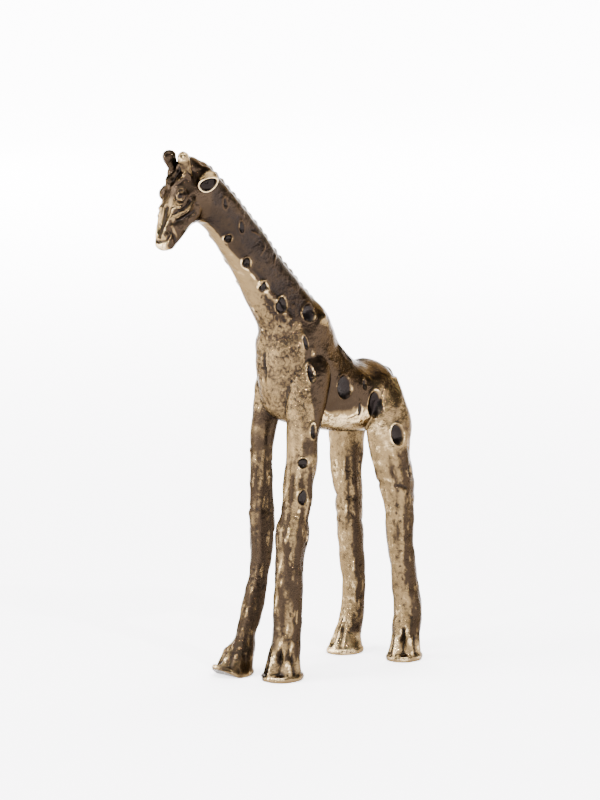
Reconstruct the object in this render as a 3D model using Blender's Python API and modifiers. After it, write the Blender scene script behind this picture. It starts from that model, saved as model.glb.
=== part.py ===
"""A small cast brass giraffe, as the twelve castings that a founder brazes into one figure.

Units are metres. +Z is up, the animal faces -Y and its left side is +X. The origin lies on the
ground, under the middle of the figure's own bounding box.
"""

import math

import bmesh
import bpy
from mathutils import Vector

MM = 0.001

# Overall sizes
LEG_LENGTH = 26.0 * MM  # sole to the braze line under the shoulder
HIND_JOINT_DROP = 3.5 * MM  # the braze line under the thigh is this much lower
BODY_LENGTH = 14.0 * MM  # front leg joint to hind leg joint
BODY_DEPTH = 8.0 * MM  # front leg joint up to the loin
BODY_WIDTH = 7.4 * MM  # across the barrel
NECK_LENGTH = 16.4 * MM
HEAD_LENGTH = 10.0 * MM
HEAD_WIDTH = 4.2 * MM  # across the brow

# Legs
FRONT_TRACK = 6.4 * MM  # between the centres of the front leg joints
HIND_TRACK = 7.0 * MM
FRONT_JOINT_DEPTH, FRONT_JOINT_WIDTH = 3.5 * MM, 3.1 * MM
HIND_JOINT_DEPTH, HIND_JOINT_WIDTH = 4.8 * MM, 3.0 * MM
HOOF_HEIGHT = 4.2 * MM
HOOF_LENGTH, HOOF_WIDTH = 4.8 * MM, 4.2 * MM
CLEFT_DEPTH = 0.8 * MM  # how far the front notch runs back into the sole
# How stout each leg is at its joint and at its hoof, as a share of the sizes above
STOUTNESS = {
    "front_left_leg": (1.0, 1.0),
    "front_right_leg": (0.78, 0.9),
    "hind_left_leg": (1.0, 0.9),
    "hind_right_leg": (0.86, 0.87),
}

# Small castings
OSSICONE_HEIGHT = 2.1 * MM
OSSICONE_SHAFT, OSSICONE_KNOB = 0.46 * MM, 0.60 * MM  # radii
OSSICONE_SPREAD = 2.0 * MM  # between the two bases
EAR_LENGTH, EAR_WIDTH, EAR_THICKNESS = 2.5 * MM, 1.6 * MM, 0.8 * MM
EAR_DISH_DEPTH = 0.45 * MM
TAIL_WIDTH = 1.0 * MM
TAIL_DROP = 10.0 * MM  # root to the end of the tuft

# Brazed spigots, each in a socket that is larger all round by the fit gap
FIT_GAP = 0.3 * MM
LEG_SPIGOT_RADIUS, LEG_SPIGOT_LENGTH = 0.6 * MM, 2.2 * MM
NECK_SPIGOT_RADIUS, NECK_SPIGOT_LENGTH = 1.3 * MM, 2.8 * MM
HEAD_SPIGOT_RADIUS, HEAD_SPIGOT_LENGTH = 0.9 * MM, 2.0 * MM
PIN_RADIUS, PIN_LENGTH = 0.3 * MM, 0.9 * MM  # ears, ossicones and tail
PIN_GAP = 0.12 * MM

# Fineness of the faceted surfaces
BODY_SIDES, LEG_SIDES, PIN_SIDES = 24, 16, 12
RINGS_PER_SPAN = 2

# Side profile of the trunk: the back's point, the belly's point and the half width. Points are shares
# of the body length behind the front leg joint and of the body depth above it; widths, of the body's.
TRUNK = (
    ((0.21, 2.18), (-0.18, 1.60), 0.34),
    ((0.34, 1.94), (-0.20, 1.25), 0.41),
    ((0.45, 1.69), (-0.18, 0.82), 0.46),
    ((0.54, 1.45), (-0.07, 0.45), 0.49),
    ((0.67, 1.21), (0.22, 0.24), 0.50),
    ((0.82, 1.03), (0.51, 0.13), 0.50),
    ((0.97, 1.04), (0.76, 0.08), 0.51),
    ((1.09, 0.94), (0.99, 0.06), 0.47),
    ((1.18, 0.70), (1.13, 0.19), 0.35),
    ((1.21, 0.54), (1.20, 0.34), 0.18),
)
# Shoulders and thighs, from the leg's joint upwards: height and set-back as shares of the body's depth
# and length, distance from the midline as a share of the joint's, then depth and width of the joint's.
SHOULDER = (
    (0.19, 0.00, 1.00, 1.10, 1.05),
    (0.50, 0.06, 0.92, 1.50, 1.18),
    (0.94, 0.13, 0.80, 1.65, 1.15),
    (1.38, 0.19, 0.62, 1.25, 0.90),
    (1.69, 0.24, 0.40, 0.70, 0.50),
)
THIGH = (
    (-0.06, -0.01, 0.97, 1.12, 1.10),
    (0.31, -0.01, 0.84, 1.12, 1.25),
    (0.69, -0.01, 0.60, 0.90, 1.05),
    (0.87, 0.01, 0.42, 0.50, 0.65),
)
# Neck: share of the length, then half depth and half width as shares of those at its root.
NECK = ((0.0, 1.0, 1.0), (0.25, 0.91, 0.88), (0.5, 0.84, 0.81), (0.75, 0.80, 0.77), (1.0, 0.79, 0.76))
# Head: brow-side point, jaw-side point (forward and up from the top of the neck, as shares of the
# head's length) and half width as a share of the head's width.
HEAD = (
    ((0.04, 0.42), (0.25, -0.15), 0.46),
    ((0.23, 0.52), (0.31, -0.17), 0.50),
    ((0.44, 0.49), (0.36, -0.18), 0.51),
    ((0.58, 0.36), (0.40, -0.22), 0.50),
    ((0.62, 0.18), (0.44, -0.28), 0.45),
    ((0.69, -0.03), (0.50, -0.35), 0.34),
    ((0.75, -0.20), (0.56, -0.42), 0.30),
    ((0.78, -0.32), (0.65, -0.44), 0.25),
    ((0.77, -0.37), (0.69, -0.44), 0.15),
)
OSSICONE_ROW = EAR_ROW = 2  # the head section that carries them
# Each leg below its joint: share of the shank's height, forward and outward shift of its centre in
# millimetres, then half depth and half width in millimetres. The animal stands in mid stride.
SHANK = {
    "front_left_leg": (
        (0.00, 1.5, -0.9, 1.55, 1.40),
        (0.15, 1.3, -0.8, 1.60, 1.48),
        (0.32, 1.3, -0.7, 1.58, 1.48),
        (0.47, 1.1, -0.6, 1.55, 1.45),
        (0.58, 0.9, -0.5, 1.90, 1.65),
        (0.70, 0.6, -0.4, 1.65, 1.55),
        (0.84, 0.2, -0.2, 1.65, 1.55),
    ),
    "front_right_leg": (
        (0.00, 3.5, -0.1, 1.25, 1.10),
        (0.11, 2.4, 0.0, 1.12, 1.05),
        (0.23, 1.4, 0.0, 1.10, 1.05),
        (0.36, 0.6, 0.0, 1.12, 1.08),
        (0.50, 0.1, 0.0, 1.22, 1.15),
        (0.64, 0.0, 0.0, 1.38, 1.28),
        (0.84, 0.0, 0.0, 1.28, 1.20),
    ),
    "hind_left_leg": (
        (0.00, -1.6, 0.8, 1.45, 1.35),
        (0.20, -1.6, 0.6, 1.38, 1.28),
        (0.43, -1.1, 0.4, 1.35, 1.25),
        (0.60, -1.1, 0.25, 1.62, 1.38),
        (0.75, -1.0, 0.15, 1.95, 1.50),
        (0.88, -0.6, 0.1, 2.20, 1.50),
    ),
    "hind_right_leg": (
        (0.00, -0.5, 0.0, 1.15, 1.08),
        (0.18, -0.7, 0.05, 1.20, 1.12),
        (0.40, -0.4, 0.0, 1.28, 1.20),
        (0.60, -0.2, 0.0, 1.36, 1.25),
        (0.80, 0.1, 0.0, 1.50, 1.30),
    ),
}

parts = bpy.data.collections.new("giraffe")
cutters = bpy.data.collections.new("cutters")


def clear_scene():
    for obj in list(bpy.data.objects):
        bpy.data.objects.remove(obj, do_unlink=True)
    for collection in (parts, cutters):
        bpy.context.scene.collection.children.link(collection)


def brass(name, colour, roughness):
    material = bpy.data.materials.new(name)
    material.use_nodes = True
    surface = material.node_tree.nodes["Principled BSDF"]
    surface.inputs["Base Color"].default_value = (*colour, 1.0)
    surface.inputs["Metallic"].default_value = 1.0
    surface.inputs["Roughness"].default_value = roughness
    return material


def aged_brass(name):
    return brass(name, (0.36, 0.27, 0.16), 0.38)


def bright_brass(name):
    return brass(name, (0.62, 0.50, 0.30), 0.28)


def add_object(name, mesh, collection=parts):
    obj = bpy.data.objects.new(name, mesh)
    collection.objects.link(obj)
    if collection is cutters:
        obj.hide_render = True
        obj.display_type = "WIRE"
    return obj


def smoothed(stations, per_span):
    """Catmull-Rom rows between the given ones; each row is a flat tuple of numbers."""
    rows = []
    last = len(stations) - 1
    for i in range(last):
        before, start, end, after = (stations[min(max(i + k, 0), last)] for k in (-1, 0, 1, 2))
        for step in range(per_span):
            t = step / per_span
            rows.append(
                [
                    b + 0.5 * t * ((c - a) + t * (2 * a - 5 * b + 4 * c - d + t * (3 * (b - c) + d - a)))
                    for a, b, c, d in zip(before, start, end, after)
                ]
            )
    return rows + [list(stations[last])]


def section(centre, spine, half_width, notch=0.0):
    """An oval: spine is the half axis in the figure's plane, half_width the one across it."""
    return (*centre, *spine, half_width, notch)


def loft(name, sections, sides, collection=parts):
    """Ovals skinned one to the next and closed by flat ends. A notch pulls the spine's point inwards."""
    bm = bmesh.new()
    rings = []
    for cx, cy, cz, sx, sy, sz, half_width, notch in sections:
        centre, spine = Vector((cx, cy, cz)), Vector((sx, sy, sz))
        ring = []
        for k in range(sides):
            angle = 2 * math.pi * k / sides
            along = math.cos(angle) - (notch / spine.length if k == 0 else 0.0)
            point = centre + spine * along + Vector((half_width * math.sin(angle), 0, 0))
            ring.append(bm.verts.new(point))
        rings.append(ring)
    for low, high in zip(rings, rings[1:]):
        for k in range(sides):
            bm.faces.new((low[k], low[k - 1], high[k - 1], high[k]))
    bm.faces.new(rings[0])
    bm.faces.new(rings[-1])
    bmesh.ops.recalc_face_normals(bm, faces=bm.faces)
    mesh = bpy.data.meshes.new(name)
    bm.to_mesh(mesh)
    bm.free()
    mesh.shade_smooth()
    mesh.set_sharp_from_angle(angle=math.radians(50))
    return add_object(name, mesh, collection)


def rod(name, base, direction, radius, length, collection=cutters):
    """A cylinder that starts at base and runs along direction."""
    bm = bmesh.new()
    bmesh.ops.create_cone(
        bm, cap_ends=True, segments=PIN_SIDES, radius1=radius, radius2=radius, depth=length
    )
    mesh = bpy.data.meshes.new(name)
    bm.to_mesh(mesh)
    bm.free()
    obj = add_object(name, mesh, collection)
    obj.location = base + direction.normalized() * length / 2
    obj.rotation_mode = "QUATERNION"
    obj.rotation_quaternion = direction.to_track_quat("Z", "Y")
    return obj


def combine(obj, other, operation):
    modifier = obj.modifiers.new(f"{operation.lower()}_{other.name}", "BOOLEAN")
    modifier.operation = operation
    modifier.object = other
    modifier.solver = "EXACT"


def drill(obj, mouth, direction, radius, depth, gap):
    """A round socket for a spigot of that radius; the cutter starts outside the mouth."""
    start = mouth - direction.normalized() * depth / 2
    cutter = rod(f"socket_{obj.name}_{len(obj.modifiers)}", start, direction, radius + gap, depth * 1.5)
    combine(obj, cutter, "DIFFERENCE")


# Places that several castings share ------------------------------------------------------------

FRONT_JOINT_Y = 0.0  # front leg joints; everything else is set back from them


def trunk_point(share):
    return Vector((0, FRONT_JOINT_Y + share[0] * BODY_LENGTH, LEG_LENGTH + share[1] * BODY_DEPTH))


def leg_joint(side, hind):
    """Centre of a leg's top face, its half depth and its half width."""
    stoutness = STOUTNESS[leg_name(side, hind)][0]
    if hind:
        centre = Vector((side * HIND_TRACK / 2, FRONT_JOINT_Y + BODY_LENGTH, LEG_LENGTH - HIND_JOINT_DROP))
        return centre, HIND_JOINT_DEPTH / 2 * stoutness, HIND_JOINT_WIDTH / 2 * stoutness
    centre = Vector((side * FRONT_TRACK / 2, FRONT_JOINT_Y, LEG_LENGTH))
    return centre, FRONT_JOINT_DEPTH / 2 * stoutness, FRONT_JOINT_WIDTH / 2 * stoutness


def leg_name(side, hind):
    return f"{'hind' if hind else 'front'}_{'left' if side > 0 else 'right'}_leg"


def neck_root():
    """Centre, half depth vector, half width and axis of the face that carries the neck."""
    back, front = trunk_point(TRUNK[0][0]), trunk_point(TRUNK[0][1])
    spine = (back - front) / 2
    axis = Vector((0, -spine.z, spine.y)).normalized()
    return (back + front) / 2, spine, TRUNK[0][2] * BODY_WIDTH, axis


def neck_top():
    centre, spine, half_width, axis = neck_root()
    return centre + axis * NECK_LENGTH, spine * NECK[-1][1], half_width * NECK[-1][2], axis


def head_point(share):
    top = neck_top()[0]
    return top + Vector((0, -share[0] * HEAD_LENGTH, share[1] * HEAD_LENGTH))


def head_surface(row, across):
    """A point on the skull beside the given station: across is -1 at the right, 0 on top, 1 at the left."""
    brow, jaw, width = HEAD[row]
    brow, jaw = head_point(brow), head_point(jaw)
    angle = across * math.pi / 2
    out = (brow - jaw) / 2 * math.cos(angle) + Vector((width * HEAD_WIDTH * math.sin(angle), 0, 0))
    return (brow + jaw) / 2 + out, out.normalized()


# The castings -----------------------------------------------------------------------------------


def make_torso():
    rows = [
        section((back + belly) / 2, (back - belly) / 2, width * BODY_WIDTH)
        for back, belly, width in ((trunk_point(b), trunk_point(v), w) for b, v, w in TRUNK)
    ]
    torso = loft("torso", smoothed(rows, RINGS_PER_SPAN), BODY_SIDES)
    for hind, muscle in ((False, SHOULDER), (True, THIGH)):
        for side, word in ((1, "left"), (-1, "right")):
            joint, depth, width = leg_joint(side, hind)
            rows = [section(joint + Vector((0, 0, FIT_GAP)), Vector((0, -depth, 0)), width)]
            for up, back, spread, deep, wide in muscle:
                height = LEG_LENGTH + up * BODY_DEPTH
                centre = Vector((joint.x * spread, joint.y + back * BODY_LENGTH, height))
                bulk = 1 + (1 / STOUTNESS[leg_name(side, hind)][0] - 1) * min(1.0, max(0.0, up * 0.8))
                rows.append(section(centre, Vector((0, -depth * deep * bulk, 0)), width * wide * bulk))
            name = f"{word}_{'thigh' if hind else 'shoulder'}"
            combine(torso, loft(name, smoothed(rows, RINGS_PER_SPAN), LEG_SIDES, cutters), "UNION")
            mouth = joint + Vector((0, 0, FIT_GAP))
            drill(torso, mouth, Vector((0, 0, 1)), LEG_SPIGOT_RADIUS, LEG_SPIGOT_LENGTH, FIT_GAP)
    centre, _, _, axis = neck_root()
    drill(torso, centre, -axis, NECK_SPIGOT_RADIUS, NECK_SPIGOT_LENGTH, FIT_GAP)
    root, inward = tail_root()
    drill(torso, root, inward, PIN_RADIUS, PIN_LENGTH, PIN_GAP)
    torso.data.materials.append(aged_brass("torso_brass"))
    return torso


def make_neck():
    centre, spine, half_width, axis = neck_root()
    around = spine.normalized() * NECK_SPIGOT_RADIUS
    foot = centre + axis * FIT_GAP
    tip = foot - axis * NECK_SPIGOT_LENGTH
    spigot = [section(point, around, NECK_SPIGOT_RADIUS) for point in (tip, foot)]
    rows = [
        section(foot + axis * share * (NECK_LENGTH - FIT_GAP), spine * deep, half_width * wide)
        for share, deep, wide in NECK
    ]
    neck = loft("neck", spigot + smoothed(rows, RINGS_PER_SPAN), BODY_SIDES)
    drill(neck, neck_top()[0], -axis, HEAD_SPIGOT_RADIUS, HEAD_SPIGOT_LENGTH, FIT_GAP)
    neck.data.materials.append(aged_brass("neck_brass"))
    return neck


def make_head():
    centre, spine, half_width, axis = neck_top()
    around = spine.normalized() * HEAD_SPIGOT_RADIUS
    foot = centre + axis * FIT_GAP
    tip = foot - axis * HEAD_SPIGOT_LENGTH
    spigot = [section(point, around, HEAD_SPIGOT_RADIUS) for point in (tip, foot)]
    rows = [section(foot, spine, half_width)]
    for brow, jaw, width in HEAD:
        top, bottom = head_point(brow), head_point(jaw)
        rows.append(section((top + bottom) / 2, (top - bottom) / 2, width * HEAD_WIDTH))
    head = loft("head", spigot + smoothed(rows, RINGS_PER_SPAN), BODY_SIDES)
    for side in (1, -1):
        for base, out in (ossicone_seat(side), ear_seat(side)):
            drill(head, base, -out, PIN_RADIUS, PIN_LENGTH, PIN_GAP)
    head.data.materials.append(aged_brass("head_brass"))
    return head


def ossicone_seat(side):
    """Where an ossicone stands on the skull, and the way it leans."""
    across = math.asin(OSSICONE_SPREAD / 2 / (HEAD[OSSICONE_ROW][2] * HEAD_WIDTH)) * 2 / math.pi
    base, _ = head_surface(OSSICONE_ROW, side * across)
    return base, Vector((side * 0.05, -0.60, 1.0)).normalized()


def ear_seat(side):
    """Where an ear leaves the side of the skull, and the way it points: out, back and a little up."""
    base, _ = head_surface(EAR_ROW, side * 0.8)
    return base, Vector((side * 1.0, 0.9, 0.45)).normalized()


def make_ossicone(name, side):
    """A turned post with a round knob and its pin, spun about its own axis."""
    seat = FIT_GAP * 1.5
    shoulder = OSSICONE_HEIGHT - 2 * OSSICONE_KNOB
    profile = [(0.0, OSSICONE_HEIGHT)]
    for step in range(1, 5):
        angle = math.radians(30 * step)
        profile.append((OSSICONE_KNOB * math.sin(angle), OSSICONE_HEIGHT - OSSICONE_KNOB * (1 - math.cos(angle))))
    profile += [
        (OSSICONE_SHAFT, shoulder),
        (OSSICONE_SHAFT * 1.15, seat),
        (PIN_RADIUS, seat),
        (PIN_RADIUS, FIT_GAP - PIN_LENGTH),
        (0.0, FIT_GAP - PIN_LENGTH),
    ]
    mesh = bpy.data.meshes.new(name)
    edges = [(k, k + 1) for k in range(len(profile) - 1)]
    mesh.from_pydata([(radius, 0, height) for radius, height in profile], edges, [])
    post = add_object(name, mesh)
    screw = post.modifiers.new("turn", "SCREW")
    screw.steps = screw.render_steps = PIN_SIDES
    screw.use_merge_vertices = True
    screw.merge_threshold = 0.00001
    base, lean = ossicone_seat(side)
    post.location = base
    post.rotation_mode = "QUATERNION"
    post.rotation_quaternion = lean.to_track_quat("Z", "Y")
    post.data.materials.append(bright_brass(f"{name}_brass"))
    return post


def make_ear(name, side):
    """A leaf with a dish scooped from its front face, and the pin that holds it."""
    base, out = ear_seat(side)
    across = Vector((0, 0, 1)).cross(out).normalized() * side  # towards the animal's back
    up = out.cross(across).normalized() * side
    rows = []
    start = FIT_GAP * 1.2
    for share, wide in ((0.0, 0.45), (0.2, 0.85), (0.45, 1.0), (0.75, 0.8), (0.93, 0.4), (1.0, 0.1)):
        rows.append((base + out * (start + share * (EAR_LENGTH - start)), wide))
    bm = bmesh.new()
    rings = []
    for centre, wide in rows:
        ring = []
        for k in range(LEG_SIDES):
            angle = 2 * math.pi * k / LEG_SIDES
            offset = up * math.cos(angle) * EAR_WIDTH / 2 * wide
            offset += across * math.sin(angle) * EAR_THICKNESS / 2 * max(wide, 0.5)
            ring.append(bm.verts.new(centre + offset))
        rings.append(ring)
    for low, high in zip(rings, rings[1:]):
        for k in range(LEG_SIDES):
            bm.faces.new((low[k], low[k - 1], high[k - 1], high[k]))
    bm.faces.new(rings[0])
    bm.faces.new(rings[-1])
    bmesh.ops.recalc_face_normals(bm, faces=bm.faces)
    mesh = bpy.data.meshes.new(name)
    bm.to_mesh(mesh)
    bm.free()
    mesh.shade_smooth()
    ear = add_object(name, mesh)
    pin = rod(f"{name}_pin", base + out * (start + 0.4 * MM), -out, PIN_RADIUS, PIN_LENGTH + 0.4 * MM)
    combine(ear, pin, "UNION")
    dish_mesh = bpy.data.meshes.new(f"{name}_dish")
    bm = bmesh.new()
    bmesh.ops.create_uvsphere(bm, u_segments=LEG_SIDES, v_segments=8, radius=1.0)
    bm.to_mesh(dish_mesh)
    bm.free()
    dish = add_object(f"{name}_dish", dish_mesh, cutters)
    dish.scale = (EAR_LENGTH * 0.33, EAR_WIDTH * 0.34, EAR_DISH_DEPTH)
    dish.location = base + out * EAR_LENGTH * 0.56 - across * EAR_THICKNESS / 2
    dish.rotation_mode = "QUATERNION"
    dish.rotation_quaternion = basis_rotation(out, up, out.cross(up))
    combine(ear, dish, "DIFFERENCE")
    ear.data.materials.append(bright_brass(f"{name}_brass"))
    return ear


def basis_rotation(x_axis, y_axis, z_axis):
    from mathutils import Matrix

    return Matrix((x_axis, y_axis, z_axis)).transposed().to_quaternion()


def make_leg(side, hind):
    """Cleft hoof, shank and spigot in one casting."""
    name = leg_name(side, hind)
    joint, joint_depth, joint_width = leg_joint(side, hind)
    hoof_share = STOUTNESS[name][1]
    front = Vector((0, -1, 0))
    span = joint.z - HOOF_HEIGHT

    def centre_at(share, forward, outward):
        return Vector((joint.x + side * outward * MM, joint.y - forward * MM, HOOF_HEIGHT + span * share))

    ankle = centre_at(*SHANK[name][0][:3])
    rows = []
    for share, size, notch in ((0.0, 0.98, 1.0), (0.12, 1.0, 1.0), (0.5, 0.86, 0.9)):
        centre = ankle + front * HOOF_LENGTH * 0.12 * (1 - share)
        centre.z = HOOF_HEIGHT * share
        size *= hoof_share
        rows.append(section(centre, front * HOOF_LENGTH / 2 * size, HOOF_WIDTH / 2 * size, CLEFT_DEPTH * notch))
    for share, forward, outward, depth, width in SHANK[name]:
        rows.append(section(centre_at(share, forward, outward), front * depth * MM, width * MM))
    rows.append(section(joint, front * joint_depth, joint_width))
    around = front * LEG_SPIGOT_RADIUS
    tip = joint + Vector((0, 0, LEG_SPIGOT_LENGTH))
    spigot = [section(point, around, LEG_SPIGOT_RADIUS) for point in (joint, tip)]
    leg = loft(name, smoothed(rows, RINGS_PER_SPAN) + spigot, LEG_SIDES)
    leg.data.materials.append(aged_brass(f"{name}_brass"))
    return leg


def tail_root():
    """The pin's mouth on the croup and the way in."""
    top, below = trunk_point(TRUNK[-3][0]), trunk_point(TRUNK[-2][0])
    outward = Vector((0, -(below - top).z, (below - top).y)).normalized()
    return (top + below) / 2, -outward


def make_tail():
    """A tapered switch that follows the rump down to a tuft, clear of it by the fit gap."""
    root, inward = tail_root()
    radius = TAIL_WIDTH / 2
    proud = radius + FIT_GAP * 1.5
    end = trunk_point(TRUNK[-1][0])
    low = trunk_point(TRUNK[-1][1])
    points = (
        (root - inward * proud, 0.75),
        (trunk_point(TRUNK[-2][0]) + Vector((0, proud, proud * 0.7)), 0.9),
        (end + Vector((0, proud * 1.15, 0)), 0.9),
        (low + Vector((0, proud * 1.2, -BODY_DEPTH * 0.1)), 0.85),
        (Vector((0, low.y + proud * 0.9, root.z - TAIL_DROP * 0.75)), 1.0),
        (Vector((0, low.y + proud * 0.6, root.z - TAIL_DROP)), 0.45),
    )
    curve = bpy.data.curves.new("tail", "CURVE")
    curve.dimensions = "3D"
    curve.bevel_depth = radius
    curve.bevel_resolution = 2
    curve.use_fill_caps = True
    rows = smoothed([(*point, width) for point, width in points], RINGS_PER_SPAN)
    spline = curve.splines.new("POLY")
    spline.points.add(len(rows) - 1)
    for point, (x, y, z, width) in zip(spline.points, rows):
        point.co = (x, y, z, 1)
        point.radius = width
    line = add_object("tail_line", curve, cutters)
    tail = as_mesh("tail", line)
    pin = rod("tail_pin", root - inward * proud, inward, PIN_RADIUS, proud - FIT_GAP / 2 + PIN_LENGTH)
    combine(tail, pin, "UNION")
    tail.data.materials.append(aged_brass("tail_brass"))
    return tail


def as_mesh(name, curve_object):
    """The curve's own surface as a closed mesh; the curve itself is removed."""
    bpy.context.view_layer.update()
    graph = bpy.context.evaluated_depsgraph_get()
    mesh = bpy.data.meshes.new_from_object(curve_object.evaluated_get(graph))
    bm = bmesh.new()
    bm.from_mesh(mesh)
    bmesh.ops.remove_doubles(bm, verts=bm.verts, dist=0.00001)
    bmesh.ops.recalc_face_normals(bm, faces=bm.faces)
    bm.to_mesh(mesh)
    bm.free()
    obj = add_object(name, mesh)
    obj.matrix_world = curve_object.matrix_world
    bpy.data.objects.remove(curve_object)
    return obj


def stand_on_origin():
    """Shifts the whole figure so that its bounding box is centred over the origin."""
    bpy.context.view_layer.update()
    graph = bpy.context.evaluated_depsgraph_get()
    corners = [
        obj.matrix_world @ Vector(corner)
        for obj in parts.objects
        for corner in obj.evaluated_get(graph).bound_box
    ]
    middle = Vector([(min(c[k] for c in corners) + max(c[k] for c in corners)) / 2 for k in range(3)])
    footing = bpy.data.objects.new("footing", None)
    bpy.context.scene.collection.objects.link(footing)
    footing.location = (-middle.x, -middle.y, 0)
    for obj in (*parts.objects, *cutters.objects):
        obj.parent = footing


def main():
    clear_scene()
    make_torso()
    make_neck()
    make_head()
    for side, word in ((1, "left"), (-1, "right")):
        make_ear(f"{word}_ear", side)
        make_ossicone(f"{word}_ossicone", side)
        make_leg(side, False)
        make_leg(side, True)
    make_tail()
    stand_on_origin()


main()
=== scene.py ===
# A small cast brass giraffe. The form is laid up from lofted limbs and lumps in millimetres, fused,
# smoothed and then worked point by point, and at the end it is parted where the castings meet.
import math

import bpy
import numpy as np
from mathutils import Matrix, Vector


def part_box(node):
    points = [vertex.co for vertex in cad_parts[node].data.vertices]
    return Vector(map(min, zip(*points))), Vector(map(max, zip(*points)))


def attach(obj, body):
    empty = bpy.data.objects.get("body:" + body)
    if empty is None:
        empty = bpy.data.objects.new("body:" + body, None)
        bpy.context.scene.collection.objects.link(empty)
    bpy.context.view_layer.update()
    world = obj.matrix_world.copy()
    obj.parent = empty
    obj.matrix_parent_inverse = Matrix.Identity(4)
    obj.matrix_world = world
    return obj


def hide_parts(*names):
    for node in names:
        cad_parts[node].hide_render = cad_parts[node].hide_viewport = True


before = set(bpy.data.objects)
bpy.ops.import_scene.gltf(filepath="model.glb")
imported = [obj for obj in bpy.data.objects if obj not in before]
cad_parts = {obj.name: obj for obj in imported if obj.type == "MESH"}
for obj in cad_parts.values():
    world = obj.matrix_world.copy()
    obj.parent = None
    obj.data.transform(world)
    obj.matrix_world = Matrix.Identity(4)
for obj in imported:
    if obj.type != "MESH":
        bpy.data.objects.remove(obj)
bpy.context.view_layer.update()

neckLow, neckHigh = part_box("neck")
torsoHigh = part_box("torso")[1]
bodyEnd = 16.35  # the y of the body's hind end in the form below, in mm
footing = np.array([(neckLow[0] + neckHigh[0]) * 500, torsoHigh[1] * 1000 - bodyEnd, 0.0])  # mm


def spline(rows, steps):
    # Catmull-Rom: each value between two rows follows the cubic through them and their neighbours.
    rows = np.asarray(rows, float)
    padded = np.vstack([rows[:1], rows, rows[-1:]])
    t = np.arange(steps)[:, None] / steps
    parts = []
    for a, b, c, d in zip(padded, padded[1:], padded[2:], padded[3:]):
        parts.append(b + 0.5 * t * ((c - a) + t * (2 * a - 5 * b + 4 * c - d + t * (3 * (b - c) + d - a))))
    return np.vstack(parts + [rows[-1:]])


def skin(centres, spines, widths, sides, power=2.0):
    # A closed tube: each ring is a superellipse in the plane of its spine and the sideways axis.
    angle = np.arange(sides) * 2 * np.pi / sides
    along = np.sign(np.cos(angle)) * np.abs(np.cos(angle)) ** (2 / power)
    aside = np.sign(np.sin(angle)) * np.abs(np.sin(angle)) ** (2 / power)
    rings = centres[:, None] + spines[:, None] * along[None, :, None]
    rings = rings + widths[:, None, None] * aside[None, :, None] * np.array([1.0, 0, 0])
    count = len(centres)
    points = np.vstack([rings.reshape(-1, 3), centres[:1], centres[-1:]])
    low = np.arange(count - 1)[:, None] * sides + np.arange(sides)
    turn = np.roll(low, -1, axis=1)
    walls = np.stack([low, turn, turn + sides, low + sides], -1).reshape(-1, 4)
    first, last = count * sides, count * sides + 1
    here, after = np.arange(sides), np.roll(np.arange(sides), -1)
    start = np.stack([np.full(sides, first), after, here], -1)
    end = np.stack([np.full(sides, last), here, after], -1) + np.array([0, 1, 1]) * (count - 1) * sides
    return points, walls, np.vstack([start, end])


def lump(centre, radii, pitch):
    # An ellipsoid, pitched about the sideways axis (degrees).
    rings, sides = 20, 28
    tall = np.linspace(0, np.pi, rings + 1)[1:-1]
    centres = np.zeros((len(tall), 3))
    centres[:, 2] = np.cos(tall)
    spines = np.zeros_like(centres)
    spines[:, 1] = -np.sin(tall)
    points, walls, caps = skin(centres, spines, np.sin(tall), sides)
    points[-2:, 2] = 1, -1
    points = points * np.asarray(radii, float)
    p = math.radians(pitch)
    aboutX = np.array([[1, 0, 0], [0, math.cos(p), -math.sin(p)], [0, math.sin(p), math.cos(p)]])
    return points @ aboutX.T + np.asarray(centre, float), walls, caps


def fuse(shells):
    # Several closed shells as one list of points and faces.
    points, faces, offset = [], [], 0
    for shellPoints, walls, caps in shells:
        points.append(shellPoints)
        faces += (walls + offset).tolist() + (caps + offset).tolist()
        offset += len(shellPoints)
    return np.vstack(points), faces


def plainMesh(name, points, faces):
    mesh = bpy.data.meshes.new(name)
    mesh.from_pydata(points, [], faces)
    mesh.update()
    return mesh


def smoothstep(low, high, x):
    # 0 at low, 1 at high: three t squared less two t cubed.
    t = np.clip((x - low) / (high - low), 0, 1)
    return t * t * (3 - 2 * t)


def bell(x, width):
    # 1 at zero, falling off as e to the minus square of x over its width.
    return np.exp(-((x / width) ** 2))


# Every number of the form is in millimetres: x to the animal's left, -y forwards, z up.

# The body's long loft: back point (y, z), belly point (y, z), half width
bodyLine = [
    (16.35, 30.3, 16.25, 28.7, 1.2),
    (15.8, 31.7, 15.2, 27.5, 2.6),
    (14.7, 33.5, 13.3, 26.6, 3.4),
    (13.0, 34.4, 10.0, 26.4, 3.6),
    (10.9, 34.35, 6.5, 26.9, 3.6),
    (8.8, 35.6, 2.5, 27.8, 3.6),
    (7.0, 37.5, -1.5, 29.4, 3.6),
    (5.9, 39.4, -2.9, 32.6, 3.55),
    (4.6, 41.4, -3.3, 36.0, 3.35),
    (2.5, 43.3, -3.2, 38.8, 2.6),
    (-0.3, 46.2, -5.1, 42.2, 2.3),
    (-2.95, 49.1, -7.2, 45.6, 2.1),
    (-5.7, 52.0, -9.5, 48.8, 2.0),
    (-8.5, 54.9, -11.9, 51.3, 1.95),
    (-10.9, 57.2, -13.6, 52.0, 1.95),
    (-12.9, 58.7, -14.2, 51.9, 2.0),
    (-15.2, 58.3, -14.8, 51.7, 1.95),
    (-16.7, 57.2, -15.3, 51.3, 1.9),
    (-17.3, 55.5, -15.8, 50.8, 1.75),
    (-17.85, 53.5, -16.3, 50.3, 1.5),
    (-18.4, 51.9, -16.8, 49.9, 1.3),
    (-18.8, 50.7, -17.4, 49.4, 1.15),
    (-18.8, 49.9, -18.0, 49.35, 0.6),
]
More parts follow.
